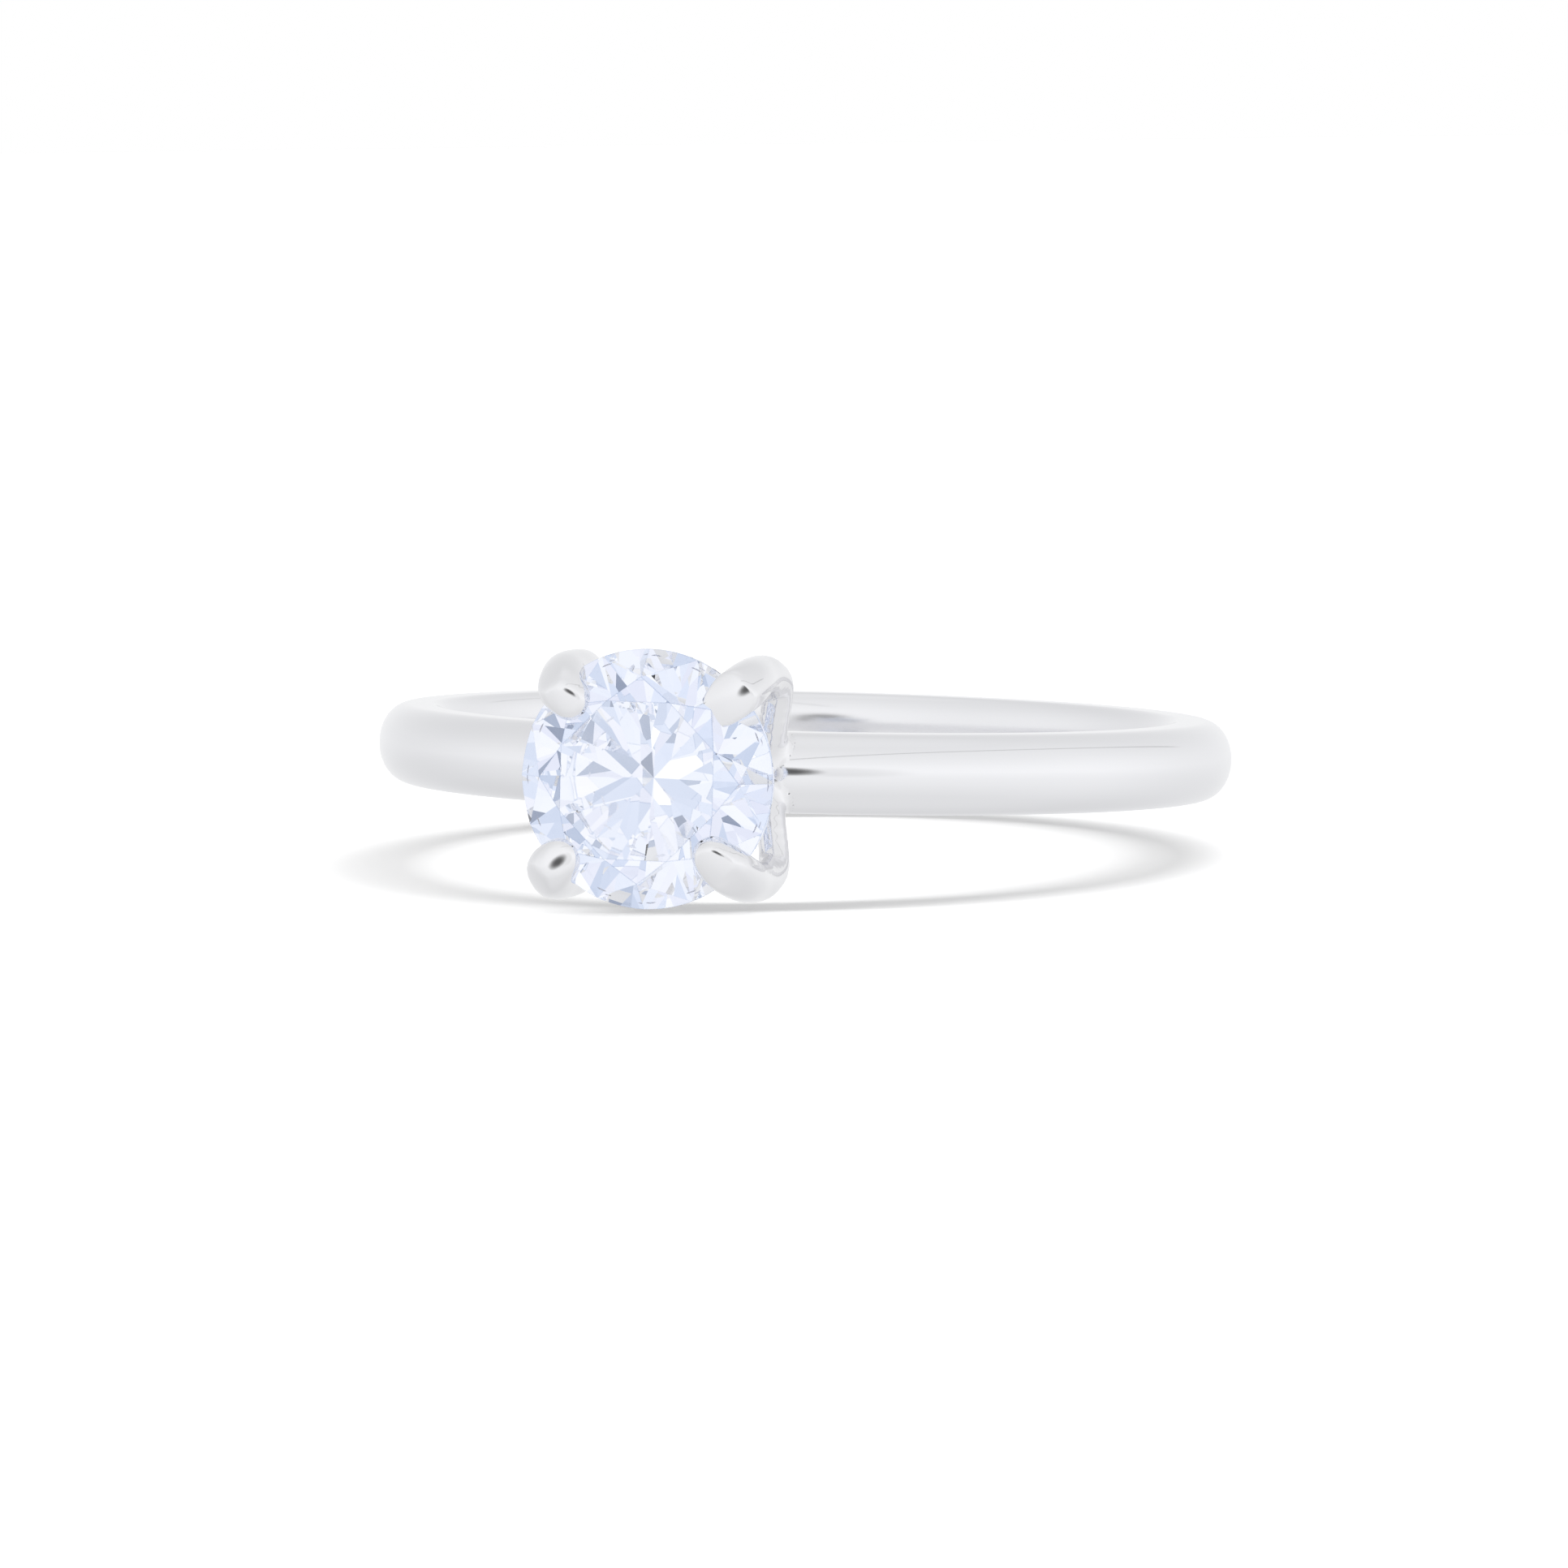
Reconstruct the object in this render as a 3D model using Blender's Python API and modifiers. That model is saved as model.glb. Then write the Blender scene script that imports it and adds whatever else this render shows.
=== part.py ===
"""Engagement ring: a plain D-section band with a four-claw head and one round brilliant.

Metres, +Z up. The ring lies on its side: the finger's axis is +Z, and the head points along -Y.
The origin is the centre of the ring's bounding box.
"""

import math

import bmesh
import bpy
from mathutils import Vector

MM = 0.001

# Band
BORE_RADIUS = 8.6 * MM
BAND_WIDTH = 1.86 * MM
BAND_SIDE_HEIGHT = 0.9 * MM
BAND_DOME_HEIGHT = 0.7 * MM
BAND_OUTER_RADIUS = BORE_RADIUS + BAND_SIDE_HEIGHT + BAND_DOME_HEIGHT
BAND_STEPS = 144
DOME_POINTS = 14

# Stone: heights are along its own axis, from the middle of the girdle
STONE_RADIUS = 2.92 * MM
GIRDLE_FROM_FINGER_AXIS = 13.5 * MM
GIRDLE_THICKNESS = 0.175 * MM
CROWN_HEIGHT = 0.82 * MM
PAVILION_DEPTH = 2.5 * MM
TABLE_HALF_WIDTH = 1.77 * MM
STAR_LENGTH = 0.48
LOWER_HALF_LENGTH = 0.78
GIRDLE_SEGMENTS = 96
FACET_STEP = math.radians(45)
HALF_STEP = FACET_STEP / 2

# Claws: each station is (across, up, distance from the finger's axis, wire radius). An arm leaves
# the side of the band, turns along the head's axis, and bends in over the stone's crown.
CLAW_STATIONS = [
    (1.66 * MM, 0.45 * MM, 9.60 * MM, 0.40 * MM),
    (1.95 * MM, 1.10 * MM, 10.12 * MM, 0.33 * MM),
    (2.18 * MM, 2.02 * MM, 10.60 * MM, 0.34 * MM),
    (2.16 * MM, 2.31 * MM, 11.40 * MM, 0.40 * MM),
    (2.12 * MM, 2.31 * MM, 12.20 * MM, 0.46 * MM),
    (2.14 * MM, 2.24 * MM, 13.05 * MM, 0.50 * MM),
    (2.08 * MM, 2.12 * MM, 13.65 * MM, 0.52 * MM),
    (1.98 * MM, 1.96 * MM, 14.10 * MM, 0.51 * MM),
    (1.72 * MM, 1.70 * MM, 14.24 * MM, 0.44 * MM),
]
CLAW_TOP_FROM_FINGER_AXIS = 14.652 * MM

# The claws are bent over the stone by hand, so each upper end leans a little: (across, up)
LEAN_START = 11.9 * MM
LEAN_END = 13.7 * MM
CLAWS = {
    "claw_upper_left": ((-1, 1), (-0.12 * MM, 0.03 * MM)),
    "claw_upper_right": ((1, 1), (0.10 * MM, -0.02 * MM)),
    "claw_lower_left": ((-1, -1), (0.05 * MM, 0.09 * MM)),
    "claw_lower_right": ((1, -1), (0.02 * MM, -0.09 * MM)),
}

# Gallery rail and head base
RAIL_FROM_FINGER_AXIS = 12.75 * MM
RAIL_RADIUS = 2.45 * MM
RAIL_WIRE_RADIUS = 0.2 * MM
RAIL_STEPS = 48
RAIL_SECTION_POINTS = 14
BASE_HALF_LENGTH = 1.6 * MM
BASE_HALF_WIDTH = 0.72 * MM
BASE_TOP_FROM_FINGER_AXIS = 10.78 * MM
BASE_BOTTOM_FROM_FINGER_AXIS = 9.6 * MM
BASE_ROUNDING = 0.22 * MM

# Soldered and set joints keep a hairline gap, so that the solids never share a face
JOINT_GAP = 0.02 * MM

# Points closer together than this are one point
WELD = 0.001 * MM
FACET_WELD = 2 * WELD

FINGER_AXIS_Y = (CLAW_TOP_FROM_FINGER_AXIS - BAND_OUTER_RADIUS) / 2


def clear_scene():
    for obj in list(bpy.data.objects):
        bpy.data.objects.remove(obj, do_unlink=True)


def new_collection(name):
    collection = bpy.data.collections.new(name)
    bpy.context.scene.collection.children.link(collection)
    return collection


def metal(name, color, roughness):
    material = bpy.data.materials.new(name)
    material.use_nodes = True
    shader = material.node_tree.nodes["Principled BSDF"]
    shader.inputs["Base Color"].default_value = (*color, 1)
    shader.inputs["Metallic"].default_value = 1
    shader.inputs["Roughness"].default_value = roughness
    return material


def gem(name, color):
    material = bpy.data.materials.new(name)
    material.use_nodes = True
    shader = material.node_tree.nodes["Principled BSDF"]
    shader.inputs["Base Color"].default_value = (*color, 1)
    shader.inputs["Roughness"].default_value = 0
    shader.inputs["IOR"].default_value = 2.417
    shader.inputs["Transmission Weight"].default_value = 1
    return material


def new_object(name, mesh, collection, parent):
    obj = bpy.data.objects.new(name, mesh)
    collection.objects.link(obj)
    obj.parent = parent
    return obj


def empty(name, parent, location=(0, 0, 0), rotation=(0, 0, 0)):
    """A frame that parts are placed in. An empty holds no shape of its own."""
    obj = new_object(name, None, bpy.context.scene.collection, parent)
    obj.location = location
    obj.rotation_euler = rotation
    return obj


def subtract(obj, cutter):
    modifier = obj.modifiers.new("cut_by_" + cutter.name, "BOOLEAN")
    modifier.operation = "DIFFERENCE"
    modifier.solver = "EXACT"
    modifier.object = cutter


def band(name, collection, parent, gap=0):
    """A turned ring: a straight-sided D profile, spun about the finger's axis."""
    half_width = BAND_WIDTH / 2 + gap
    shoulder = BORE_RADIUS + BAND_SIDE_HEIGHT
    dome = BAND_DOME_HEIGHT + gap
    outline = [(BORE_RADIUS - gap, -half_width)]
    for step in range(DOME_POINTS + 1):
        angle = math.pi * (step / DOME_POINTS - 0.5)
        outline.append((shoulder + dome * math.cos(angle), half_width * math.sin(angle)))
    outline.append((BORE_RADIUS - gap, half_width))

    shape = bmesh.new()
    points = [shape.verts.new((radius, 0, height)) for radius, height in outline]
    for first, second in zip(points, points[1:] + points[:1]):
        shape.edges.new((first, second))
    mesh = bpy.data.meshes.new(name)
    shape.to_mesh(mesh)
    shape.free()
    obj = new_object(name, mesh, collection, parent)
    screw = obj.modifiers.new("spin", "SCREW")
    screw.angle = math.tau
    screw.steps = BAND_STEPS
    screw.render_steps = BAND_STEPS
    screw.use_merge_vertices = True
    screw.merge_threshold = WELD
    screw.use_normal_calculate = True
    return obj


def around(radius, angle, height):
    return Vector((radius * math.cos(angle), radius * math.sin(angle), height))


def keep_below(shape, point, normal):
    """Grinds one flat facet: removes what lies outside the plane, and closes the cut."""
    everything = shape.verts[:] + shape.edges[:] + shape.faces[:]
    cut = bmesh.ops.bisect_plane(
        shape, geom=everything, dist=1e-9, plane_co=point, plane_no=normal, clear_outer=True
    )
    edges = [item for item in cut["geom_cut"] if isinstance(item, bmesh.types.BMEdge)]
    if edges:
        bmesh.ops.edgeloop_fill(shape, edges=edges)


def facet_through(shape, first, second, third, outward, gap):
    normal = (second - first).cross(third - first).normalized()
    if normal.dot(outward) < 0:
        normal.negate()
    keep_below(shape, first + normal * gap, normal)


def round_brilliant(name, collection, parent, gap=0):
    """A cylinder ground to 57 facets. The stone's axis is +Z, and its girdle is at height 0."""
    radius = STONE_RADIUS
    rise = GIRDLE_THICKNESS / 2
    shape = bmesh.new()
    bmesh.ops.create_cone(
        shape,
        cap_ends=True,
        segments=GIRDLE_SEGMENTS,
        radius1=radius + gap,
        radius2=radius + gap,
        depth=2 * (rise + PAVILION_DEPTH + gap),
    )
    up = Vector((0, 0, 1))
    keep_below(shape, up * (rise + CROWN_HEIGHT + gap), up)

    table_corner = TABLE_HALF_WIDTH / math.cos(HALF_STEP)
    crown_slope = CROWN_HEIGHT / (radius - table_corner)
    pavilion_slope = PAVILION_DEPTH / radius
    star_radius = TABLE_HALF_WIDTH + STAR_LENGTH * (radius - TABLE_HALF_WIDTH)
    star_height = rise + (radius - star_radius * math.cos(HALF_STEP)) * crown_slope
    lower_radius = (1 - LOWER_HALF_LENGTH) * radius
    lower_height = -rise - (radius - lower_radius * math.cos(HALF_STEP)) * pavilion_slope

    for facet in range(8):
        ridge = facet * FACET_STEP
        main = ridge + HALF_STEP
        outward = around(1, main, 0)
        across = around(1, main + math.pi / 2, 0)
        crown_edge = around(radius, main, rise)
        table_point = around(table_corner, main, rise + CROWN_HEIGHT)
        facet_through(shape, crown_edge, table_point, crown_edge + across * radius, outward, gap)
        pavilion_edge = around(radius, main, -rise)
        culet = Vector((0, 0, -rise - PAVILION_DEPTH))
        facet_through(shape, pavilion_edge, culet, pavilion_edge + across * radius, outward, gap)

        star_tip = around(star_radius, ridge, star_height)
        table_edge = around(TABLE_HALF_WIDTH, ridge, rise + CROWN_HEIGHT)
        along = around(radius, ridge + math.pi / 2, 0)
        facet_through(shape, star_tip, table_edge, table_edge + along, around(1, ridge, 0), gap)

        lower_tip = around(lower_radius, ridge, lower_height)
        for side in (-1, 1):
            neighbour = ridge + side * HALF_STEP
            middle = around(1, ridge + side * HALF_STEP / 2, 0)
            upper_half = (star_tip, around(radius, ridge, rise), around(radius, neighbour, rise))
            facet_through(shape, *upper_half, middle, gap)
            lower_half = (lower_tip, around(radius, ridge, -rise), around(radius, neighbour, -rise))
            facet_through(shape, *lower_half, middle, gap)

    bmesh.ops.remove_doubles(shape, verts=shape.verts[:], dist=FACET_WELD)
    bmesh.ops.recalc_face_normals(shape, faces=shape.faces[:])
    mesh = bpy.data.meshes.new(name)
    shape.to_mesh(mesh)
    shape.free()
    obj = new_object(name, mesh, collection, parent)
    obj.location = (0, 0, GIRDLE_FROM_FINGER_AXIS)
    return obj


def claw_wire(name, collection, parent, sides, lean, gap=0):
    """A wire of changing thickness through the claw's stations, as a closed mesh."""
    curve = bpy.data.curves.new(name + "_wire", "CURVE")
    curve.dimensions = "3D"
    curve.resolution_u = 5
    curve.bevel_depth = 1
    curve.bevel_resolution = 4
    curve.use_fill_caps = True
    spline = curve.splines.new("BEZIER")
    spline.bezier_points.add(len(CLAW_STATIONS) - 1)
    spline.radius_interpolation = "CARDINAL"
    for point, (across, up, reach, thickness) in zip(spline.bezier_points, CLAW_STATIONS):
        share = min(max((reach - LEAN_START) / (LEAN_END - LEAN_START), 0), 1)
        side = sides[0] * (across + share * lean[0])
        height = sides[1] * (up + share * lean[1])
        point.co = (side, height, reach)
        point.radius = thickness + gap
        point.handle_left_type = "AUTO"
        point.handle_right_type = "AUTO"
    wire = new_object(name + "_wire", curve, collection, parent)
    bpy.context.view_layer.update()

    graph = bpy.context.evaluated_depsgraph_get()
    mesh = bpy.data.meshes.new_from_object(wire.evaluated_get(graph))
    mesh.name = name
    shape = bmesh.new()
    shape.from_mesh(mesh)
    bmesh.ops.remove_doubles(shape, verts=shape.verts[:], dist=WELD)
    bmesh.ops.recalc_face_normals(shape, faces=shape.faces[:])
    shape.to_mesh(mesh)
    shape.free()
    bpy.data.objects.remove(wire, do_unlink=True)
    return new_object(name, mesh, collection, parent)


def rail(name, collection, parent):
    """A ring of round wire about the head's axis."""
    outline = bmesh.new()
    bmesh.ops.create_circle(outline, segments=RAIL_SECTION_POINTS, radius=RAIL_WIRE_RADIUS)
    for vertex in outline.verts:
        vertex.co = Vector((RAIL_RADIUS + vertex.co.x, 0, vertex.co.y))
    mesh = bpy.data.meshes.new(name)
    outline.to_mesh(mesh)
    outline.free()
    obj = new_object(name, mesh, collection, parent)
    obj.location = (0, 0, RAIL_FROM_FINGER_AXIS)
    screw = obj.modifiers.new("spin", "SCREW")
    screw.angle = math.tau
    screw.steps = RAIL_STEPS
    screw.render_steps = RAIL_STEPS
    screw.use_merge_vertices = True
    screw.merge_threshold = WELD
    screw.use_normal_calculate = True
    return obj


def saddle(name, collection, parent):
    """A rounded block over the crown of the band; the band and the claws are cut out of it."""
    block = bmesh.new()
    bmesh.ops.create_cube(block, size=2)
    half_height = (BASE_TOP_FROM_FINGER_AXIS - BASE_BOTTOM_FROM_FINGER_AXIS) / 2
    bmesh.ops.scale(block, verts=block.verts, vec=(BASE_HALF_LENGTH, BASE_HALF_WIDTH, half_height))
    mesh = bpy.data.meshes.new(name)
    block.to_mesh(mesh)
    block.free()
    obj = new_object(name, mesh, collection, parent)
    obj.location = (0, 0, BASE_TOP_FROM_FINGER_AXIS - half_height)
    rounding = obj.modifiers.new("rounding", "BEVEL")
    rounding.width = BASE_ROUNDING
    rounding.segments = 3
    return obj


def main():
    clear_scene()
    ring = new_collection("engagement_ring")
    cutters = new_collection("cutters")
    cutters.hide_render = True

    ring_frame = empty("ring_frame", None, (0, FINGER_AXIS_Y, 0))
    # In the head's frame X runs across, Y runs up the finger's axis and Z points out of the ring
    head_frame = empty("head_frame", ring_frame, rotation=(math.radians(90), 0, 0))

    band_metal = metal("white_gold_band", (0.83, 0.83, 0.85), 0.08)
    head_metal = metal("white_gold_head", (0.86, 0.86, 0.88), 0.07)
    stone = gem("diamond_clear", (0.97, 0.98, 1.0))

    shank = band("shank", ring, ring_frame)
    shank.data.materials.append(band_metal)
    diamond = round_brilliant("diamond", ring, head_frame)
    diamond.data.materials.append(stone)

    shank_room = band("shank_room", cutters, ring_frame, JOINT_GAP)
    stone_room = round_brilliant("stone_room", cutters, head_frame, JOINT_GAP)

    base = saddle("head_base", ring, head_frame)
    gallery = rail("gallery_rail", ring, head_frame)
    subtract(base, shank_room)
    for name, (sides, lean) in CLAWS.items():
        claw = claw_wire(name, ring, head_frame, sides, lean)
        claw.data.materials.append(head_metal)
        subtract(claw, shank_room)
        subtract(claw, stone_room)
        claw_room = claw_wire(name + "_room", cutters, head_frame, sides, lean, JOINT_GAP)
        subtract(base, claw_room)
        subtract(gallery, claw_room)
    for piece in (base, gallery):
        piece.data.materials.append(head_metal)

    for cutter in cutters.objects:
        cutter.display_type = "WIRE"


main()
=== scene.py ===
"""Looks of the engagement ring: smooth polished metal, a bright brilliant, and a white studio.

Every object is in metres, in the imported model's frame: the finger's axis is parallel to +Z and
the head points along -Y. The shape functions below work in millimetres.
"""

import math

import bmesh
import bpy
import numpy as np
from mathutils import Matrix, Vector


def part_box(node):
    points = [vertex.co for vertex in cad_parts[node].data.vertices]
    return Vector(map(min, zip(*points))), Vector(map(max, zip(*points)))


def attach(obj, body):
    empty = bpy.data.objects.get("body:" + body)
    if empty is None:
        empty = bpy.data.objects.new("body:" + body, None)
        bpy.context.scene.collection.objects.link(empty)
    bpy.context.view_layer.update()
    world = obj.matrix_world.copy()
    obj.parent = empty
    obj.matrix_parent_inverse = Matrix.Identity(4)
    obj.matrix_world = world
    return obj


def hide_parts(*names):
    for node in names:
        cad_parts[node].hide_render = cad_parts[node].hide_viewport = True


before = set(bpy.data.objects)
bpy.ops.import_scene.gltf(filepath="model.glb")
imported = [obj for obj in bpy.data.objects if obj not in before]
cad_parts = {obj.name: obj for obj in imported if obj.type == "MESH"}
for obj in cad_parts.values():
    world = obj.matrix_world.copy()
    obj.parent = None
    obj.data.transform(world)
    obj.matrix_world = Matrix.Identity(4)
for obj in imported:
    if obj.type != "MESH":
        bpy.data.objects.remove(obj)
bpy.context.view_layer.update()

MM = 0.001

# ---------------------------------------------------------------- sizes, from the frame

shank_low, shank_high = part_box("shank")
BAND_OUTER_RADIUS = (shank_high.x - shank_low.x) / 2 / MM
BAND_HALF_WIDTH = (shank_high.z - shank_low.z) / 2 / MM
FINGER_AXIS_Y = (shank_high.y + shank_low.y) / 2 / MM

BAND_DOME_HEIGHT = 0.7
BAND_SIDE_HEIGHT = 0.9
BAND_SHOULDER_RADIUS = BAND_OUTER_RADIUS - BAND_DOME_HEIGHT
BORE_RADIUS = BAND_SHOULDER_RADIUS - BAND_SIDE_HEIGHT
BORE_DOME_HEIGHT = 0.4
BORE_DOME_POWER = 2.6

# How finely the two turned pieces are divided, along their section and round their axis
ARC_STEPS = 48
BAND_TURNS = 480
RAIL_ARC_STEPS = 28
RAIL_TURNS = 160

# Claw stations: (across, up, distance from the finger's axis, radius)
CLAW_STATIONS = [
    (1.66, 0.45, 9.60, 0.40),
    (1.95, 1.10, 10.12, 0.33),
    (2.18, 2.02, 10.60, 0.34),
    (2.16, 2.31, 11.40, 0.40),
    (2.12, 2.31, 12.20, 0.46),
    (2.14, 2.24, 13.05, 0.50),
    (2.08, 2.12, 13.65, 0.52),
    (1.98, 1.96, 14.10, 0.51),
    (1.72, 1.70, 14.24, 0.44),
]

# Each claw's side (across, up), and how far its upper end was bent off symmetry (across, up).
# The bend grows between the two distances from the finger's axis.
LEAN_START = 11.9
LEAN_END = 13.7
CLAWS = {
    "claw_upper_left": ((-1, 1), (-0.12, 0.03)),
    "claw_upper_right": ((1, 1), (0.10, -0.02)),
    "claw_lower_left": ((-1, -1), (0.05, 0.09)),
    "claw_lower_right": ((1, -1), (0.02, -0.09)),
}

# Each tip is filed with two slightly domed flats. A flat is (place along the claw, lean, depth).
# A top flat leans by (across, up), and the side flat leans as far outward in both directions.
TOP_FLATS = {
    "claw_upper_left": (7.7, (0.13, -0.13), 0.06),
    "claw_upper_right": (6.6, (0.085, 0.05), 0.18),
    "claw_lower_left": (7.7, (0.22, 0.10), 0.09),
    "claw_lower_right": (7.5, (0.10, -0.22), 0.08),
}
SIDE_FLAT = (7.0, 0.95, 0.06)
FLAT_RADIUS_ALONG = 2.8
FLAT_RADIUS_ACROSS = 1.4
FLAT_EDGE = 0.06

# The claw's wire: steps between two stations, the blend of its pieces, and its fillet to the band
PATH_STEPS = 4
WIRE_BLEND = 0.08
WIRE_MARGIN = 0.1
FOOT_FILLET = 0.3

BASE_HALF_DEPTH = 0.5
BASE_ROUNDING = 0.25
BASE_FILLET = 0.2
BASE_MARGIN = (0.3, 0.1, 0.3)

# How far a soldered piece reaches into the band, how far it is shrunk, and its gap to the stone
SOLDER_DEPTH = 0.05
SKIN = 0.002
STONE_GAP = 0.012

# The grid that a field is meshed on. Its margins are in steps, and the first one is uneven, to
# keep the grid's planes off flat faces. GRID_PART points are worked out at a time.
FIELD_STEP = 0.06
GRID_MARGINS = (2.37, 2)
GRID_PART = 4000

# How the grid's points are moved onto the surface; the move and the crease's reach are in steps
SETTLE_ROUNDS = 5
SETTLE_MOVE = 0.5
CREASE_REACH = 0.6
CREASE_SOFTNESS = 1e-3
SLOPE_STEP = 1e-3

# ---------------------------------------------------------------- shape fields


def at(across, up, reach):
    """A point of the head, in millimetres in the row frame."""
    return np.array([across, FINGER_AXIS_Y - reach, up])


def smooth_min(first, second, reach):
    """The smaller of two distances, with a fillet where they differ by less than the reach."""
    overlap = np.maximum(reach - np.abs(first - second), 0) / reach
    return np.minimum(first, second) - overlap * overlap * reach / 4


def smooth_max(first, second, reach):
    return -smooth_min(-first, -second, reach)


def band_field(points):
    """Distance to the D-section band: flat sides, and an elliptical dome outside the shoulder."""
    radius = np.hypot(points[:, 0], points[:, 1] - FINGER_AXIS_Y)
    out = np.maximum(radius - BAND_SHOULDER_RADIUS, 0)
    height = np.abs(points[:, 2])
    unit = np.hypot(out / BAND_DOME_HEIGHT, height / BAND_HALF_WIDTH)
    slope = np.hypot(out / BAND_DOME_HEIGHT**2, height / BAND_HALF_WIDTH**2)
    dome = unit * (unit - 1) / np.maximum(slope, 1e-6)
    return np.maximum(dome, BORE_RADIUS - radius)


def smooth_path(stations, steps):
    """Points along a Catmull-Rom spline through the stations."""
    knots = np.array([stations[0]] + list(stations) + [stations[-1]], float)
    found = []
    for index in range(1, len(knots) - 2):
        before, start, end, after = knots[index - 1 : index + 3]
        for step in range(steps):
            t = step / steps
            found.append(
                0.5
                * (
                    2 * start
                    + (end - before) * t
                    + (2 * before - 5 * start + 4 * end - after) * t**2
                    + (3 * start - before - 3 * end + after) * t**3
                )
            )
    found.append(knots[-2])
    return np.array(found)


def wire_field(points, path):
    """Distance to a wire of changing radius; path rows are x, y, z, radius."""
    distance = None
    for start, end in zip(path[:-1], path[1:]):
        stretch = end[:3] - start[:3]
        share = np.clip((points - start[:3]) @ stretch / (stretch @ stretch), 0, 1)
        centre = start[:3] + share[:, None] * stretch
        radius = start[3] + share * (end[3] - start[3])
        piece = np.linalg.norm(points - centre, axis=1) - radius
        distance = piece if distance is None else smooth_min(distance, piece, WIRE_BLEND)
    return distance


def stone_planes():
    """The stone's facets as outward normals and distances, from the CAD node's own faces."""
    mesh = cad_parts["diamond"].data
    planes = {}
    for face in mesh.polygons:
        normal = np.array(face.normal)
        offset = float(normal @ np.array(face.center)) / MM
        planes[tuple(np.round([*normal, offset], 3))] = (normal, offset)
    normals = np.array([plane[0] for plane in planes.values()])
    offsets = np.array([plane[1] for plane in planes.values()])
    return normals, offsets


def stone_field(points, planes):
    """Distance to the stone, which is exact on its facets."""
    normals, offsets = planes
    return np.max(points @ normals.T - offsets, axis=1)


def gradient(field, points):
    """The direction in which a field rises at each point, and how fast."""
    steps = SLOPE_STEP * np.eye(3)
    slopes = [field(points + step) - field(points - step) for step in steps]
    return np.stack(slopes, axis=1) / (2 * SLOPE_STEP)


# ---------------------------------------------------------------- field to mesh


def cell_points(values):
    """The mean point where the surface crosses each cell's edges, and which cells it crosses."""
    cells = tuple(size - 1 for size in values.shape)
    total = np.zeros(cells + (3,))
    count = np.zeros(cells)
    corners = np.stack(np.meshgrid(*(np.arange(n) for n in cells), indexing="ij"), -1)
    for axis in range(3):
        others = [other for other in range(3) if other != axis]
        for first, second in ((0, 0), (0, 1), (1, 0), (1, 1)):
            start = [slice(0, n) for n in cells]
            start[others[0]] = slice(first, first + cells[others[0]])
            start[others[1]] = slice(second, second + cells[others[1]])
            end = list(start)
            end[axis] = slice(1, 1 + cells[axis])
            near, far = values[tuple(start)], values[tuple(end)]
            crossed = (near < 0) != (far < 0)
            share = np.where(crossed, near / np.where(crossed, near - far, 1), 0)
            point = corners.astype(float)
            point[..., axis] += share
            point[..., others[0]] += first
            point[..., others[1]] += second
            total += np.where(crossed[..., None], point, 0)
            count += crossed
    used = count > 0
    return total[used] / count[used][:, None], used


def cell_quads(inside, number):
    """One quad for each grid edge that the surface crosses, through the four cells round it."""
    quads = []
    for axis in range(3):
        before, after = (axis + 1) % 3, (axis + 2) % 3
        start = [slice(None)] * 3
        end = [slice(None)] * 3
        start[axis], end[axis] = slice(0, -1), slice(1, None)
        near, far = inside[tuple(start)], inside[tuple(end)]
        edges = np.argwhere(near != far)
        flip = near[tuple(edges.T)]
        ring = []
        for first, second in ((0, 0), (-1, 0), (-1, -1), (0, -1)):
            cell = edges.copy()
            cell[:, before] += first
            cell[:, after] += second
            ring.append(number[tuple(cell.T)])
        face = np.stack(ring, axis=1)
        face[~flip] = face[~flip][:, ::-1]
        quads.append(face)
    return np.concatenate(quads)


def surface_net(values, low):
    """A mesh with one point in each grid cell that the surface crosses."""
    means, used = cell_points(values)
    number = np.full(used.shape, -1)
    number[used] = np.arange(used.sum())
    return low + FIELD_STEP * means, cell_quads(values < 0, number)


def settle(points, fields):
    """Moves points onto the surface, and onto the crease where two of its fields meet."""
    for _ in range(SETTLE_ROUNDS):
        values = np.stack([field(points) for field in fields], axis=1)
        active = values > values.max(axis=1, keepdims=True) - CREASE_REACH * FIELD_STEP
        slopes = np.stack([gradient(field, points) for field in fields], axis=1)
        slopes *= active[..., None]
        error = np.where(active, values, 0)
        square = slopes @ slopes.transpose(0, 2, 1) + CREASE_SOFTNESS * np.eye(len(fields))
        pull = np.linalg.solve(square, error[..., None])
        move = -(slopes.transpose(0, 2, 1) @ pull)[..., 0]
        length = np.linalg.norm(move, axis=1, keepdims=True)
        move *= np.minimum(1, SETTLE_MOVE * FIELD_STEP / np.maximum(length, 1e-9))
        points = points + move
    return points


def field_shape(fields, low, high):
    """Points, quads and corner normals of the region where every field is negative."""
    low = low - GRID_MARGINS[0] * FIELD_STEP
    high = high + GRID_MARGINS[1] * FIELD_STEP
    sizes = np.ceil((high - low) / FIELD_STEP).astype(int) + 1
    axes = [low[axis] + FIELD_STEP * np.arange(sizes[axis]) for axis in range(3)]
    grid = np.stack(np.meshgrid(*axes, indexing="ij"), axis=-1).reshape(-1, 3)
    parts = np.array_split(grid, len(grid) // GRID_PART + 1)
    highest = [np.max([field(part) for field in fields], axis=0) for part in parts]
    values = np.concatenate(highest).reshape(sizes)
    points, quads = surface_net(values, low)
    points = settle(points, fields)
    middles = points[quads].mean(axis=1)
    owner = np.argmax([field(middles) for field in fields], axis=0)
    slopes = np.stack([gradient(field, points) for field in fields], axis=0)
    slopes /= np.maximum(np.linalg.norm(slopes, axis=2, keepdims=True), 1e-9)
    return points, quads, slopes[owner[:, None], quads]


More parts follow.
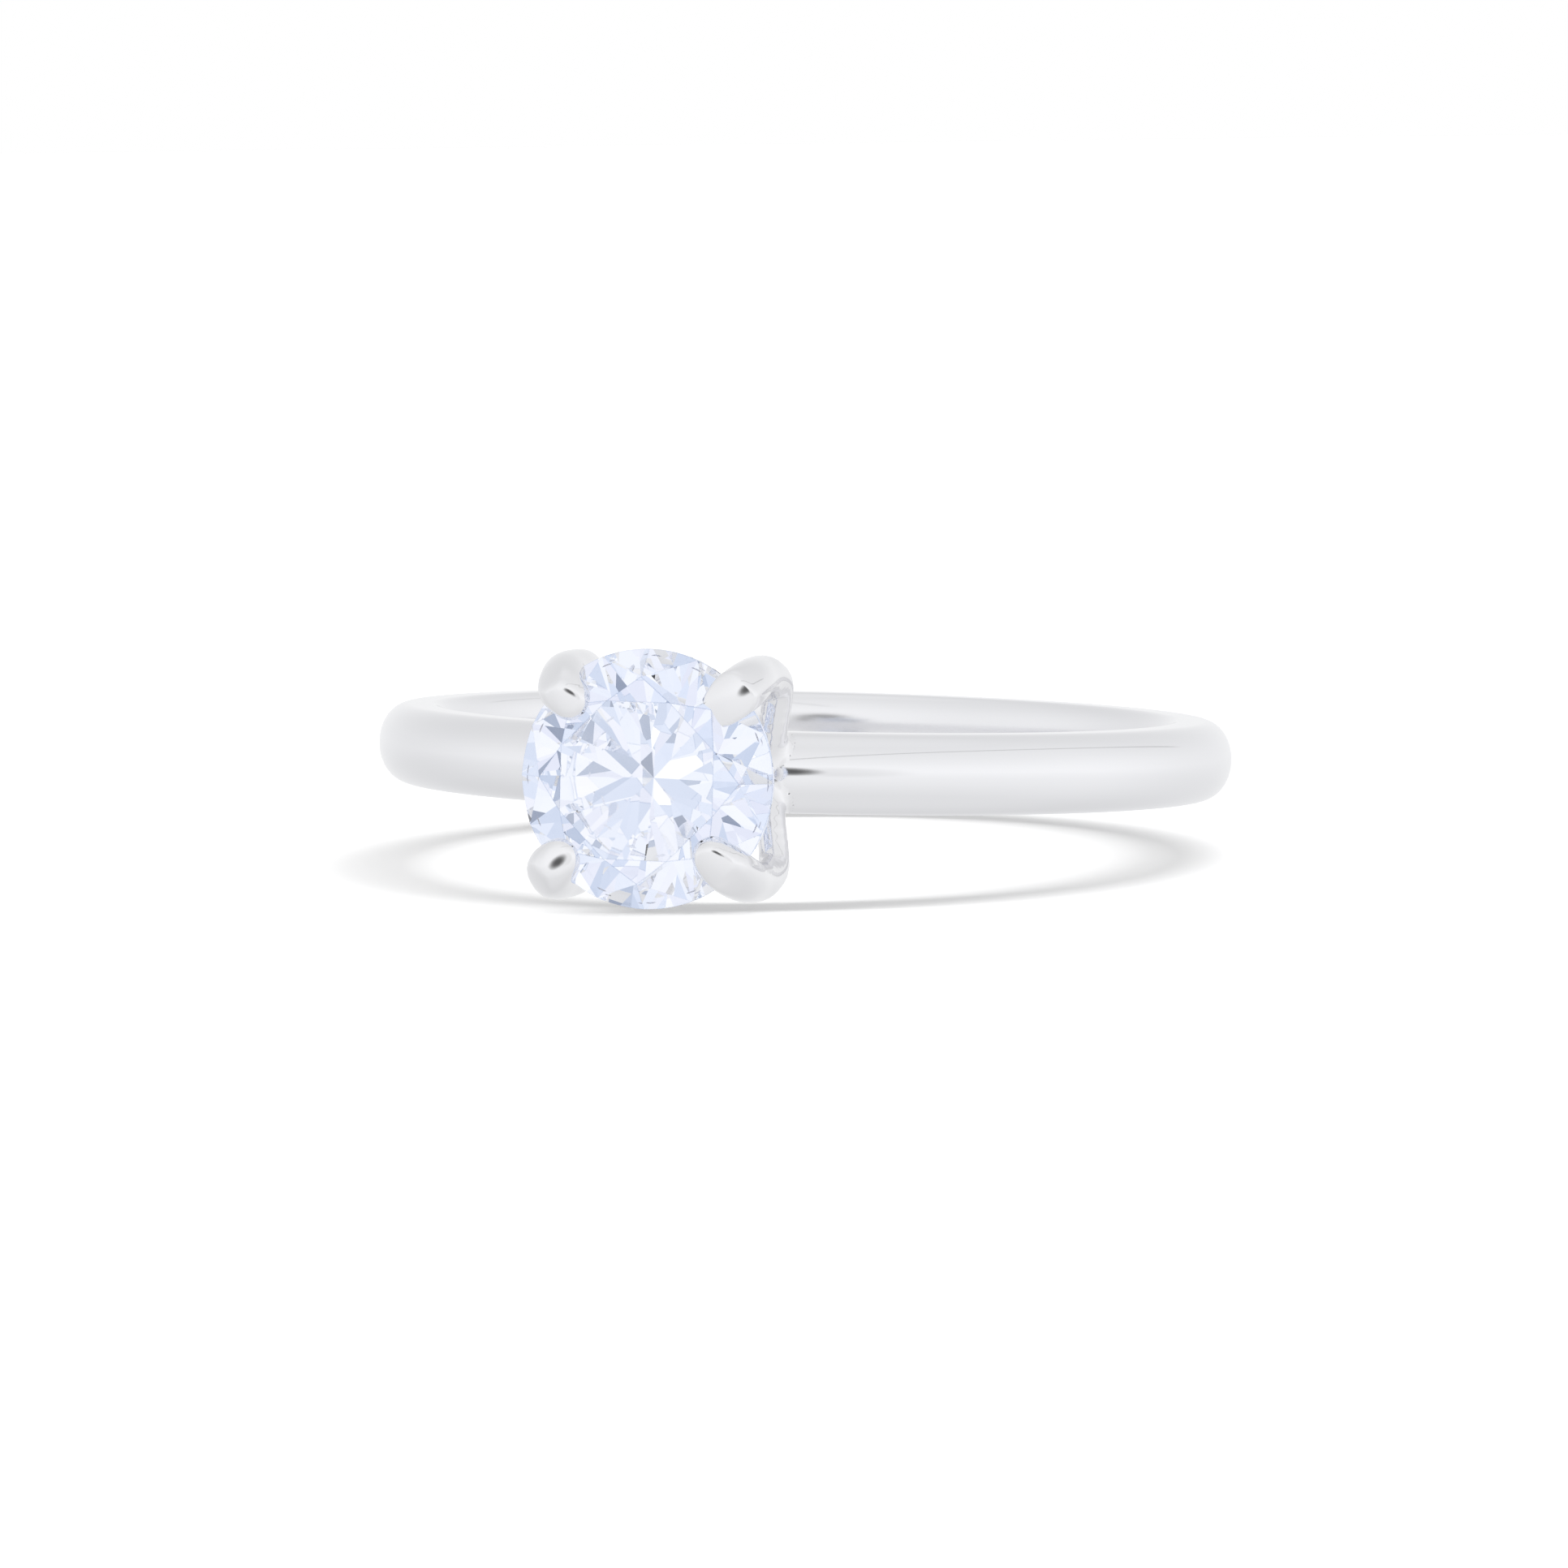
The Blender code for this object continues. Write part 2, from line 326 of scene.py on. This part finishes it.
def shape_mesh(name, shape):
    """A smooth mesh of a field shape, with the field's own normals."""
    points, quads, normals = shape
    mesh = bpy.data.meshes.new(name)
    mesh.from_pydata((points * MM).tolist(), [], quads.tolist())
    mesh.shade_smooth()
    mesh.normals_split_custom_set(normals.reshape(-1, 3).tolist())
    return mesh


# ---------------------------------------------------------------- materials

METAL_COLOR = (0.87, 0.87, 0.885, 1)
HAZE_SCALE = 900
HAZE_DETAIL = 4.0
HAZE_ROUGHNESS = (0.05, 0.09)
HAIRLINE_SCALE = 6000
HAIRLINE_STRENGTH = 0.012
HAIRLINE_DEPTH = 0.02 * MM

# The bore's satin begins at the first distance from the finger hole and is full at the second
SATIN_ROUGHNESS = 0.14
SATIN_REACH = (0.45, 0.05)

DIAMOND_IOR = 2.417
CLOUD_SCALE = 700
CLOUD_TINT = (0.95, 0.965, 1.0)
# A facet that faces the camera more than TABLE_FACING is the table. Painted shade: the crown's
# facets get a darker mirror colour than the table.
TABLE_FACING = 0.98
CROWN_SHADED_SHINE = (0.25, 0.25, 0.25)
# Painted shade: thin dark blue lines are drawn into the stone's colour where two facets meet. These
# are their width in millimetres, how sharp a bend counts as an edge, and their colour.
FACET_SHADE_LINE_WIDTH = 0.035
FACET_SHADE_LINE_BEND = 0.98
FACET_SHADE_LINE_COLOR = (0.3, 0.38, 0.55, 1)

# A ray that has bounced this often inside the stone leaves it as a soft glow
TRAPPED_AFTER = 10


def new_material(name):
    material = bpy.data.materials.new(name)
    material.use_nodes = True
    tree = material.node_tree
    return material, tree, tree.nodes["Principled BSDF"]


def add_node(tree, kind, **values):
    node = tree.nodes.new(kind)
    for key, value in values.items():
        setattr(node, key, value)
    return node


def feed(tree, socket, value):
    """Links another node's output to the socket, or sets it to a plain value."""
    if isinstance(value, bpy.types.NodeSocket):
        tree.links.new(value, socket)
    else:
        socket.default_value = value


def calc(tree, operation, *values):
    """One Math node; each value is a number or another node's output."""
    node = add_node(tree, "ShaderNodeMath", operation=operation)
    for socket, value in zip(node.inputs, values):
        feed(tree, socket, value)
    return node.outputs[0]


def product(tree, *values):
    result = values[0]
    for value in values[1:]:
        result = calc(tree, "MULTIPLY", result, value)
    return result


def along(tree, direction, axis):
    """How far a direction points along an axis; both are vectors or nodes' outputs."""
    node = add_node(tree, "ShaderNodeVectorMath", operation="DOT_PRODUCT")
    feed(tree, node.inputs[0], direction)
    feed(tree, node.inputs[1], axis)
    return node.outputs["Value"]


def soft_step(tree, value, start, end, low=0.0, high=1.0):
    """Rises smoothly from low to high as the value goes from start to end."""
    node = add_node(tree, "ShaderNodeMapRange", interpolation_type="SMOOTHSTEP")
    for name, setting in (
        ("Value", value),
        ("From Min", start),
        ("From Max", end),
        ("To Min", low),
        ("To Max", high),
    ):
        feed(tree, node.inputs[name], setting)
    return node.outputs["Result"]


def noise(tree, place, scale, detail=2.0):
    node = add_node(tree, "ShaderNodeTexNoise")
    feed(tree, node.inputs["Vector"], place)
    feed(tree, node.inputs["Scale"], scale)
    feed(tree, node.inputs["Detail"], detail)
    return node.outputs["Fac"]


def ramp(tree, value, stops):
    """A colour ramp; each stop is (position, colour)."""
    node = add_node(tree, "ShaderNodeValToRGB")
    elements = node.color_ramp.elements
    for position, color in stops[2:]:
        elements.new(position)
    for element, (position, color) in zip(elements, stops):
        element.position = position
        element.color = (*color, 1)
    feed(tree, node.inputs["Fac"], value)
    return node.outputs["Color"]


def emission(tree, color, strength=1.0):
    node = add_node(tree, "ShaderNodeEmission")
    feed(tree, node.inputs["Color"], color)
    feed(tree, node.inputs["Strength"], strength)
    return node.outputs[0]


def mix_shaders(tree, share, first, second):
    node = add_node(tree, "ShaderNodeMixShader")
    for socket, value in zip(node.inputs, (share, first, second)):
        feed(tree, socket, value)
    return node.outputs[0]


def bore_satin(tree, place):
    """The roughness that wear gives the inside of the band; 0 on its outside."""
    flat = add_node(tree, "ShaderNodeVectorMath", operation="MULTIPLY_ADD")
    feed(tree, flat.inputs[0], place)
    feed(tree, flat.inputs[1], (1, 1, 0))
    feed(tree, flat.inputs[2], (0, -FINGER_AXIS_Y * MM, 0))
    radius = add_node(tree, "ShaderNodeVectorMath", operation="LENGTH")
    feed(tree, radius.inputs[0], flat.outputs["Vector"])
    start, end = ((BORE_RADIUS + reach) * MM for reach in SATIN_REACH)
    return soft_step(tree, radius.outputs["Value"], start, end, 0.0, SATIN_ROUGHNESS)


def white_gold():
    """Polished rhodium-white gold: a faint haze all over, and a worn satin inside the band."""
    material, tree, shader = new_material("white_gold_polished")
    place = add_node(tree, "ShaderNodeTexCoord").outputs["Object"]
    polish = add_node(tree, "ShaderNodeMapRange")
    polish.inputs["To Min"].default_value, polish.inputs["To Max"].default_value = HAZE_ROUGHNESS
    feed(tree, polish.inputs["Value"], noise(tree, place, HAZE_SCALE, HAZE_DETAIL))
    roughness = calc(tree, "MAXIMUM", polish.outputs[0], bore_satin(tree, place))

    bump = add_node(tree, "ShaderNodeBump")
    feed(tree, bump.inputs["Strength"], HAIRLINE_STRENGTH)
    feed(tree, bump.inputs["Distance"], HAIRLINE_DEPTH)
    feed(tree, bump.inputs["Height"], noise(tree, place, HAIRLINE_SCALE))

    feed(tree, shader.inputs["Base Color"], METAL_COLOR)
    feed(tree, shader.inputs["Metallic"], 1)
    feed(tree, shader.inputs["Roughness"], roughness)
    feed(tree, shader.inputs["Normal"], bump.outputs["Normal"])
    return material


def painted_facet_shade_lines(tree, geometry):
    """The mask of the painted shade lines: 1 on the thin lines where two facets meet, and 0
    elsewhere.
    """
    bevel = add_node(tree, "ShaderNodeBevel", samples=4)
    feed(tree, bevel.inputs["Radius"], FACET_SHADE_LINE_WIDTH * MM)
    bend = along(tree, bevel.outputs["Normal"], geometry.outputs["True Normal"])
    return soft_step(tree, bend, 1.0, FACET_SHADE_LINE_BEND)


def facet_shine(tree, geometry):
    """The table mirrors a bright card at full strength; the crown's steeper facets get a darker
    mirror colour, which is painted shade.
    """
    facing = along(tree, geometry.outputs["True Normal"], (0, -1, 0))
    table = calc(tree, "GREATER_THAN", facing, TABLE_FACING)
    return ramp(tree, table, [(0, CROWN_SHADED_SHINE), (1, (1, 1, 1))])


def brilliant():
    """Clear diamond: high refraction, a trace of cold blue, and thin dark lines of painted shade
    between its facets.
    """
    material, tree, shader = new_material("diamond_brilliant")
    place = add_node(tree, "ShaderNodeTexCoord").outputs["Object"]
    tint = ramp(tree, noise(tree, place, CLOUD_SCALE), [(0, CLOUD_TINT), (1, (1, 1, 1))])
    geometry = add_node(tree, "ShaderNodeNewGeometry")
    # Painted shade: the facet-edge mask mixes a dark blue into the stone's colour.
    shade_lined = add_node(tree, "ShaderNodeMix", data_type="RGBA")
    feed(tree, shade_lined.inputs["Factor"], painted_facet_shade_lines(tree, geometry))
    feed(tree, shade_lined.inputs["A"], tint)
    feed(tree, shade_lined.inputs["B"], FACET_SHADE_LINE_COLOR)

    feed(tree, shader.inputs["Base Color"], shade_lined.outputs["Result"])
    feed(tree, shader.inputs["Specular Tint"], facet_shine(tree, geometry))
    feed(tree, shader.inputs["Roughness"], 0)
    feed(tree, shader.inputs["IOR"], DIAMOND_IOR)
    feed(tree, shader.inputs["Transmission Weight"], 1)

    depth = add_node(tree, "ShaderNodeLightPath").outputs["Ray Depth"]
    trapped = calc(tree, "GREATER_THAN", depth, TRAPPED_AFTER)
    glow = stone_light(tree, geometry.outputs["Incoming"])
    surface = mix_shaders(tree, trapped, shader.outputs[0], glow)
    feed(tree, tree.nodes["Material Output"].inputs["Surface"], surface)
    return material


# ---------------------------------------------------------------- pieces


def add_metal(name, mesh, metal, node):
    """A visible piece that stands for a CAD node, on the ring's one body."""
    piece = bpy.data.objects.new(name, mesh)
    bpy.context.scene.collection.objects.link(piece)
    mesh.materials.append(metal)
    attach(piece, "root")
    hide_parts(node)
    return piece


def band_outline():
    """The band's section as (radius, height) points: the outer dome, then the fuller bore."""
    outline = []
    for step in range(ARC_STEPS + 1):
        angle = math.pi * (step / ARC_STEPS - 0.5)
        height = BAND_HALF_WIDTH * math.sin(angle)
        outline.append((BAND_SHOULDER_RADIUS + BAND_DOME_HEIGHT * math.cos(angle), height))
    inner_shoulder = BORE_RADIUS + BORE_DOME_HEIGHT
    for step in range(ARC_STEPS + 1):
        angle = math.pi * (0.5 - step / ARC_STEPS)
        inward = abs(math.cos(angle)) ** (2 / BORE_DOME_POWER)
        upward = math.copysign(abs(math.sin(angle)) ** (2 / BORE_DOME_POWER), angle)
        outline.append((inner_shoulder - BORE_DOME_HEIGHT * inward, BAND_HALF_WIDTH * upward))
    return outline


def turned_mesh(name, outline, steps, centre, axis_to_world):
    """A closed section turned about an axis; outline points are (radius, height) in millimetres."""
    turns = np.arange(steps) * math.tau / steps
    section = np.array(outline)
    points = np.stack(
        [
            np.outer(np.cos(turns), section[:, 0]),
            np.outer(np.sin(turns), section[:, 0]),
            np.tile(section[:, 1], (steps, 1)),
        ],
        axis=-1,
    ).reshape(-1, 3)
    points = points @ np.array(axis_to_world).T + np.array(centre)
    count = len(outline)
    faces = []
    for turn in range(steps):
        for index in range(count):
            after = (index + 1) % count
            here, there = turn * count, ((turn + 1) % steps) * count
            faces.append((here + index, there + index, there + after, here + after))
    mesh = bpy.data.meshes.new(name)
    mesh.from_pydata((points * MM).tolist(), [], faces)
    mesh.shade_smooth()
    return mesh


def make_band(metal):
    centre = (0, FINGER_AXIS_Y, 0)
    mesh = turned_mesh("band_polished", band_outline(), BAND_TURNS, centre, np.eye(3))
    add_metal("band_polished", mesh, metal, "shank")


def claw_path(sides, lean):
    """The wire's centre line, with the small lean of a claw that was bent over by hand."""
    rows = []
    for across, up, reach, radius in CLAW_STATIONS:
        share = min(max((reach - LEAN_START) / (LEAN_END - LEAN_START), 0), 1)
        side = sides[0] * (across + share * lean[0])
        height = sides[1] * (up + share * lean[1])
        rows.append((*at(side, height, reach), radius))
    return smooth_path(rows, PATH_STEPS)


def tip_flats(name, path, sides):
    """Where each filed flat is highest, the direction that it faces, and the claw's direction."""
    top_place, top_lean, top_depth = TOP_FLATS[name]
    side_place, side_lean, side_depth = SIDE_FLAT
    outward = (sides[0] * side_lean, sides[1] * side_lean)
    flats = ((top_place, top_lean, top_depth), (side_place, outward, side_depth))
    found = []
    for place, (across, up), depth in flats:
        x, y, z, radius = path[round(place * PATH_STEPS)]
        normal = np.array([across, -1, up])
        normal /= np.linalg.norm(normal)
        inward = np.array([-sides[0], 0, -sides[1]], float)
        inward -= (inward @ normal) * normal
        inward /= np.linalg.norm(inward)
        found.append((np.array([x, y, z]) + normal * (radius - depth), normal, inward))
    return found


def flat_field(points, top, normal, inward):
    """A shallow dome, negative inside, that curves less along the claw than across it."""
    offset = points - top
    lengthwise = (offset @ inward) ** 2 / (2 * FLAT_RADIUS_ALONG)
    crosswise = (offset @ np.cross(normal, inward)) ** 2 / (2 * FLAT_RADIUS_ACROSS)
    return offset @ normal + lengthwise + crosswise


def above_solder(points):
    """Negative outside the band, and in the thin layer under its surface that takes the solder."""
    return -band_field(points) - SOLDER_DEPTH


def claw_shape(name, sides, lean, planes):
    """A filed wire that flows into the band, and is cut to seat the stone."""
    path = claw_path(sides, lean)
    flats = tip_flats(name, path, sides)

    def wire(points):
        distance = wire_field(points, path)
        for flat in flats:
            distance = smooth_max(distance, flat_field(points, *flat), FLAT_EDGE)
        return distance

    def surface(points):
        return smooth_min(wire(points), band_field(points), FOOT_FILLET) + SKIN

    def near_wire(points):
        return wire(points) - band_field(points) - FOOT_FILLET

    def clear_of_stone(points):
        return STONE_GAP - stone_field(points, planes)

    fields = [surface, above_solder, near_wire, clear_of_stone]
    spread = FOOT_FILLET + WIRE_MARGIN
    low = (path[:, :3] - path[:, 3:]).min(axis=0) - spread
    high = (path[:, :3] + path[:, 3:]).max(axis=0) + spread
    return field_shape(fields, low, high)


def make_claws(metal, planes):
    """The four claws, which leave the thin ring of shadow on the floor to the band."""
    for node, (sides, lean) in CLAWS.items():
        mesh = shape_mesh(node + "_polished", claw_shape(node, sides, lean, planes))
        claw = add_metal(node + "_polished", mesh, metal, node)
        claw.visible_shadow = False


def make_rail(metal):
    """The wire ring under the stone, which casts no shadow and isn't seen through the stone."""
    low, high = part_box("gallery_rail")
    wire = (high.y - low.y) / 2 / MM
    radius = (high.x - low.x) / 2 / MM - wire
    centre = (0, (high.y + low.y) / 2 / MM, 0)
    outline = [
        (radius + wire * math.cos(angle), wire * math.sin(angle))
        for angle in np.arange(RAIL_ARC_STEPS) * math.tau / RAIL_ARC_STEPS
    ]
    turn = Matrix.Rotation(math.radians(90), 3, "X")
    mesh = turned_mesh("gallery_rail_polished", outline, RAIL_TURNS, centre, turn)
    rail = add_metal("gallery_rail_polished", mesh, metal, "gallery_rail")
    rail.visible_shadow = False
    rail.visible_transmission = False


def make_base(metal):
    """The rounded block between the claws' feet, which isn't seen through the stone."""
    low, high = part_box("head_base")
    top = FINGER_AXIS_Y - low.y / MM
    half = np.array([high.x / MM, BASE_HALF_DEPTH, high.z / MM])
    centre = at(0, 0, top - half[1])

    def block(points):
        away = np.abs(points - centre) - (half - BASE_ROUNDING)
        outside = np.linalg.norm(np.maximum(away, 0), axis=1)
        return outside + np.minimum(away.max(axis=1), 0) - BASE_ROUNDING

    def surface(points):
        return smooth_min(block(points), band_field(points), BASE_FILLET) + SKIN

    def near_block(points):
        return block(points) - band_field(points) - BASE_FILLET

    spread = half + BASE_MARGIN
    shape = field_shape([surface, above_solder, near_block], centre - spread, centre + spread)
    mesh = shape_mesh("head_base_polished", shape)
    base = add_metal("head_base_polished", mesh, metal, "head_base")
    base.visible_transmission = False


# ---------------------------------------------------------------- studio

CAMERA_AZIMUTH = math.radians(15.1)
CAMERA_ELEVATION = math.radians(3.26)
CAMERA_ROLL = math.radians(1.31)
CAMERA_DISTANCE = 200 * MM
CAMERA_LENS = 191.7
CAMERA_SHIFT = (-0.0137, -0.0220)
CAMERA_CLIP_START = 10 * MM

# The ring hangs just above the floor, so its shadow is a thin ring of its own. The soft box's
# sizes and distance and the floor's size are in metres.
FLOOR_ELEVATION = math.radians(6.1)
FLOOR_ROLL = math.radians(0.7)
FLOOR_DROP = 2.63 * MM
FLOOR_HALF_SIZE = 0.5
FLOOR_COLOR = (0.78, 0.78, 0.78, 1)
LIGHT_SLANT = 0.33
LIGHT_DISTANCE = 1.5
LIGHT_WIDTH = 1.6
LIGHT_DEPTH = 0.25
LIGHT_POWER = 18.0

CLOTH_TINT = (0.985, 0.99, 1.0)


def grey(value):
    return tuple(value * share for share in CLOTH_TINT)


# The cloth's brightness from straight below (0) to straight above (1)
TENT_STOPS = [
    (0.0, grey(0.85)),
    (0.12, grey(0.86)),
    (0.3, grey(0.95)),
    (0.42, grey(0.99)),
    (0.52, grey(1.06)),
    (0.6, grey(1.04)),
    (0.75, grey(0.96)),
    (0.93, grey(0.89)),
    (1.0, grey(0.91)),
]

# The hole for the lens: a dark core and a paler tail, each as (place to the right, width, height).
# It fades out over LENS_EDGE, and behind the plane of LENS_FRONT it is pushed out of reach.
LENS_CORE = (-0.1, 0.15, 0.13)
LENS_CORE_DEPTH = 0.88
LENS_TAIL = (0.16, 0.26, 0.15)
LENS_TAIL_DEPTH = 0.12
LENS_EDGE = 2.0
LENS_FRONT = (0.2, 0.0)
LENS_PUSH = 9.0

# The seam between two cloths: two directions on it as (azimuth, elevation), and its shape
SEAM_ENDS = [
    (math.radians(0), math.radians(29)),
    (math.radians(48), math.radians(48)),
]
SEAM_WIDTHS = (0.004, 0.02)
SEAM_START = (0.35, 0.45)
SEAM_DEPTH = 0.35

# The cloth is dimmer behind the ring and to its left: each side as (start, end, depth)
FAR_SIDE = (0.2, -0.9, 0.11)
LEFT_SIDE = (-0.1, -0.9, 0.07)

# The cards that the stone gathers, as stops of a soft noise
CARD_SCALE = 2.6
CARD_DETAIL = 1.5
CARD_STOPS = [
    (0.32, (0.28, 0.33, 0.45)),
    (0.38, (0.55, 0.63, 0.80)),
    (0.46, (0.74, 0.81, 0.97)),
    (0.52, (0.98, 1.0, 1.06)),
    (0.60, (0.78, 0.81, 0.95)),
    (0.70, (1.1, 1.1, 1.12)),
]

LIGHT_BOUNCES = 16


def camera_axes():
    """The camera's right, up and back directions, looking at the finger's axis."""
    back = Vector(
        (
            math.sin(CAMERA_AZIMUTH) * math.cos(CAMERA_ELEVATION),
            -math.cos(CAMERA_AZIMUTH) * math.cos(CAMERA_ELEVATION),
            math.sin(CAMERA_ELEVATION),
        )
    )
    level = Vector((math.cos(CAMERA_AZIMUTH), math.sin(CAMERA_AZIMUTH), 0))
    upright = back.cross(level)
    right = level * math.cos(CAMERA_ROLL) + upright * math.sin(CAMERA_ROLL)
    return right, back.cross(right), back


def add_camera():
    right, up, back = camera_axes()
    data = bpy.data.cameras.new("camera")
    data.lens = CAMERA_LENS
    data.shift_x, data.shift_y = CAMERA_SHIFT
    data.clip_start = CAMERA_CLIP_START
    camera = bpy.data.objects.new("camera", data)
    bpy.context.scene.collection.objects.link(camera)
    place = Vector((0, FINGER_AXIS_Y * MM, 0)) + back * CAMERA_DISTANCE
    rotation = Matrix((right, up, back)).transposed()
    camera.matrix_world = Matrix.Translation(place) @ rotation.to_4x4()
    bpy.context.scene.camera = camera


def floor_frame():
    """The floor's directions to the right, away and up, and the point below the ring's middle."""
    right, up, back = camera_axes()
    upright = up * math.cos(FLOOR_ROLL) - right * math.sin(FLOOR_ROLL)
    normal = upright * math.cos(FLOOR_ELEVATION) + back * math.sin(FLOOR_ELEVATION)
    side = right * math.cos(FLOOR_ROLL) + up * math.sin(FLOOR_ROLL)
    below = Vector((0, FINGER_AXIS_Y * MM, 0)) - up * FLOOR_DROP
    return side, normal.cross(side), normal, below


def make_floor():
    right, deep, normal, below = floor_frame()
    mesh = bpy.data.meshes.new("studio_floor")
    shape = bmesh.new()
    bmesh.ops.create_grid(shape, x_segments=1, y_segments=1, size=FLOOR_HALF_SIZE)
    shape.to_mesh(mesh)
    shape.free()
    floor = bpy.data.objects.new("studio_floor", mesh)
    bpy.context.scene.collection.objects.link(floor)
    turn = Matrix((right, deep, normal)).transposed().to_4x4()
    floor.matrix_world = Matrix.Translation(below) @ turn
    material, tree, shader = new_material("studio_paper")
    feed(tree, shader.inputs["Base Color"], FLOOR_COLOR)
    feed(tree, shader.inputs["Roughness"], 1)
    feed(tree, shader.inputs["Specular IOR Level"], 0)
    mesh.materials.append(material)
    floor.visible_glossy = False
    floor.visible_transmission = False


def opening(tree, directions, place, wide, tall):
    """0 inside a soft ellipse round the direction of the camera, and 1 well outside it."""
    to_right, to_up, to_back = directions
    across = calc(tree, "DIVIDE", calc(tree, "SUBTRACT", to_right, place), wide)
    upward = calc(tree, "DIVIDE", to_up, tall)
    spread = calc(tree, "ADD", calc(tree, "POWER", across, 2), calc(tree, "POWER", upward, 2))
    behind = soft_step(tree, to_back, *LENS_FRONT, 0.0, LENS_PUSH)
    return soft_step(tree, calc(tree, "ADD", spread, behind), 0.0, LENS_EDGE)


def dimmed(tree, mask, depth):
    """1 where the mask is 1, and less by the depth where it is 0."""
    return calc(tree, "MULTIPLY_ADD", mask, depth, 1 - depth)


def seam_normal():
    """The normal of the seam's plane, which goes through the ring and the seam's two ends."""
    right, up, back = camera_axes()
    ends = []
    for azimuth, elevation in SEAM_ENDS:
        level = back * math.cos(azimuth) + right * math.sin(azimuth)
        ends.append(level * math.cos(elevation) + up * math.sin(elevation))
    return ends[0].cross(ends[1]).normalized()


def seam_line(tree, direction, to_up):
    """0 on the seam, which starts well above the camera, and 1 elsewhere."""
    distance = calc(tree, "ABSOLUTE", along(tree, direction, seam_normal()))
    on_seam = soft_step(tree, distance, *SEAM_WIDTHS, 1.0, 0.0)
    started = soft_step(tree, to_up, *SEAM_START)
    return calc(tree, "SUBTRACT", 1, calc(tree, "MULTIPLY", on_seam, started))


def tent_light(tree, direction):
    """What the metal mirrors: grey-white cloth, a thin seam, and the dark opening for the lens."""
    directions = [along(tree, direction, axis) for axis in camera_axes()]
    to_right, to_up, to_back = directions
    cloth = ramp(tree, calc(tree, "MULTIPLY_ADD", to_up, 0.5, 0.5), TENT_STOPS)

    core = dimmed(tree, opening(tree, directions, *LENS_CORE), LENS_CORE_DEPTH)
    tail = dimmed(tree, opening(tree, directions, *LENS_TAIL), LENS_TAIL_DEPTH)
    seam = dimmed(tree, seam_line(tree, direction, to_up), SEAM_DEPTH)
    sides = []
    for towards, (start, end, depth) in ((to_back, FAR_SIDE), (to_right, LEFT_SIDE)):
        sides.append(soft_step(tree, towards, start, end, 1.0, 1 - depth))
    return emission(tree, cloth, product(tree, core, tail, seam, *sides))


def stone_light(tree, direction):
    """What the stone gathers: white and pale blue cards, with a few dark gaps between them."""
    cards = noise(tree, direction, CARD_SCALE, CARD_DETAIL)
    return emission(tree, ramp(tree, cards, CARD_STOPS))


def light_tent():
    """A white tent: the metal, the stone and the floor each get the part that suits them."""
    world = bpy.data.worlds.new("light_tent")
    bpy.context.scene.world = world
    world.use_nodes = True
    tree = world.node_tree
    tree.nodes.clear()
    output = add_node(tree, "ShaderNodeOutputWorld")
    rays = add_node(tree, "ShaderNodeLightPath").outputs
    direction = add_node(tree, "ShaderNodeTexCoord").outputs["Generated"]

    metal_part = tent_light(tree, direction)
    stone_part = stone_light(tree, direction)
    mirrored = mix_shaders(tree, rays["Is Transmission Ray"], metal_part, stone_part)
    plain = calc(tree, "MAXIMUM", rays["Is Camera Ray"], rays["Is Diffuse Ray"])
    final = mix_shaders(tree, plain, mirrored, emission(tree, (1, 1, 1, 1)))
    feed(tree, output.inputs["Surface"], final)


def add_overhead_light():
    """A long soft box above the ring, a little to the right; only the floor sees its light."""
    right, deep, normal, below = floor_frame()
    data = bpy.data.lights.new("overhead_softbox", "AREA")
    data.shape = "RECTANGLE"
    data.size = LIGHT_WIDTH
    data.size_y = LIGHT_DEPTH
    data.energy = LIGHT_POWER
    light = bpy.data.objects.new("overhead_softbox", data)
    bpy.context.scene.collection.objects.link(light)
    light.visible_glossy = False
    light.visible_transmission = False
    light.visible_camera = False
    towards = (normal + right * LIGHT_SLANT).normalized()
    turn = Matrix((deep.cross(towards), deep, towards)).transposed().to_4x4()
    light.matrix_world = Matrix.Translation(below + towards * LIGHT_DISTANCE) @ turn


def dress_stone():
    """Gives the CAD stone its material; it leaves no shade on the floor."""
    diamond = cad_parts["diamond"]
    diamond.data.materials.clear()
    diamond.data.materials.append(brilliant())
    diamond.visible_shadow = False
    diamond.visible_diffuse = False


def main():
    metal = white_gold()
    dress_stone()
    make_band(metal)
    make_claws(metal, stone_planes())
    make_rail(metal)
    make_base(metal)

    add_camera()
    make_floor()
    light_tent()
    add_overhead_light()
    scene = bpy.context.scene
    scene.view_settings.view_transform = "Standard"
    scene.cycles.max_bounces = LIGHT_BOUNCES
    scene.cycles.glossy_bounces = LIGHT_BOUNCES
    scene.cycles.transmission_bounces = LIGHT_BOUNCES


main()
